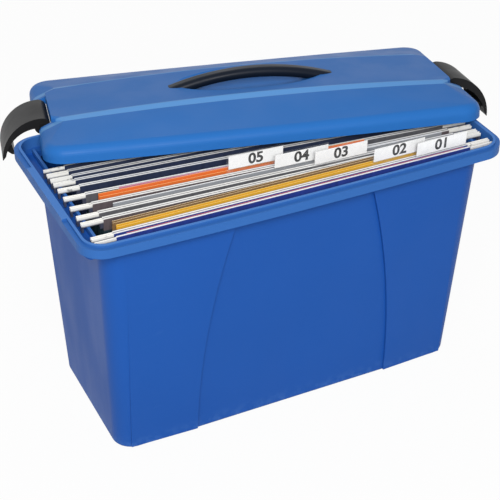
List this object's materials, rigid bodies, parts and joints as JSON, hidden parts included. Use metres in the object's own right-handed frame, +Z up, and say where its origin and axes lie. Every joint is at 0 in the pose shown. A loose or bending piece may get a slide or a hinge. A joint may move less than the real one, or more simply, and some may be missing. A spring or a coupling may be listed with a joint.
{
  "type": "portable file box",
  "caption": "Portable file box with a lift-off domed lid, end latches, a carrying handle and hanging files with tabs.",
  "frame": {"origin": "centre of the base's flat underside, on the floor", "axes": "+X along the box towards the right end, +Y from the front wall to the back, +Z up"},
  "size_m": [0.4902, 0.3471, 0.2827],
  "materials": {
    "body_blue": "fine moulded grain, drafted wall, light scuffs",
    "lid_blue": "fine moulded grain, satin crown",
    "dark_plastic": "smooth moulding with a soft sheen",
    "rail_steel": "cream coating on thin strip",
    "pocket_card": "kraft card, dark blue, fibrous",
    "clear_tab": "clear vinyl",
    "label_card": "white card",
    "red_paper": "coloured paper",
    "yellow_card": "coloured card",
    "manila_card": "coloured card",
    "white_paper": "plain paper",
    "grey_paper": "plain paper",
    "orange_card": "coloured card",
    "pink_paper": "coloured paper"
  },
  "bodies": {
    "box": {"box_body": "body_blue", "front_rail_04": "rail_steel", "back_rail_04": "rail_steel", "pocket_04": "pocket_card", "front_rail_05": "rail_steel", "back_rail_05": "rail_steel", "pocket_05": "pocket_card", "front_rail_06": "rail_steel", "back_rail_06": "rail_steel", "pocket_06": "pocket_card", "front_rail_07": "rail_steel", "back_rail_07": "rail_steel", "pocket_07": "pocket_card", "front_rail_08": "rail_steel", "back_rail_08": "rail_steel", "pocket_08": "pocket_card", "front_rail_09": "rail_steel", "back_rail_09": "rail_steel", "pocket_09": "pocket_card", "front_rail_10": "rail_steel", "back_rail_10": "rail_steel", "pocket_10": "pocket_card", "tab_holder_04": "clear_tab", "tab_label_04": "label_card", "tab_holder_05": "clear_tab", "tab_label_05": "label_card", "grey_papers": "grey_paper", "orange_folder": "orange_card", "orange_papers": "white_paper", "pink_sheet": "pink_paper"},
    "lid": {"lid_shell": "lid_blue", "carry_handle": "dark_plastic"},
    "latch_left": {"latch_left": "dark_plastic"},
    "latch_right": {"latch_right": "dark_plastic"},
    "file_01": {"front_rail_01": "rail_steel", "back_rail_01": "rail_steel", "pocket_01": "pocket_card", "tab_holder_01": "clear_tab", "tab_label_01": "label_card", "red_sheet": "red_paper"},
    "file_02": {"front_rail_02": "rail_steel", "back_rail_02": "rail_steel", "pocket_02": "pocket_card", "tab_holder_02": "clear_tab", "tab_label_02": "label_card", "yellow_folder": "yellow_card", "yellow_papers": "white_paper", "manila_folder": "manila_card", "manila_papers": "white_paper"},
    "file_03": {"front_rail_03": "rail_steel", "back_rail_03": "rail_steel", "pocket_03": "pocket_card", "tab_holder_03": "clear_tab", "tab_label_03": "label_card"}
  },
  "joints": [
    {"name": "lid_lift", "type": "slide", "parent": "box", "child": "lid", "axis": [0, 0, 1], "range_m": [0, 0.3]},
    {"name": "latch_left_swing", "type": "hinge", "parent": "lid", "child": "latch_left", "pos_m": [-0.1678, 0.1402, 0.25211], "axis": [0.2317, 0.959, -0.1633], "range_deg": [-40, 75]},
    {"name": "latch_right_swing", "type": "hinge", "parent": "lid", "child": "latch_right", "pos_m": [0.2342, 0.04295, 0.25139], "axis": [-0.2317, -0.959, 0.1633], "range_deg": [-32, 83]},
    {"name": "file_01_lift", "type": "slide", "parent": "box", "child": "file_01", "axis": [0, -0.0921, 0.9958], "range_m": [0, 0.26]},
    {"name": "file_02_lift", "type": "slide", "parent": "box", "child": "file_02", "axis": [0, -0.0921, 0.9958], "range_m": [0, 0.26]},
    {"name": "file_03_lift", "type": "slide", "parent": "box", "child": "file_03", "axis": [0, -0.0921, 0.9958], "range_m": [0, 0.26]}
  ]
}
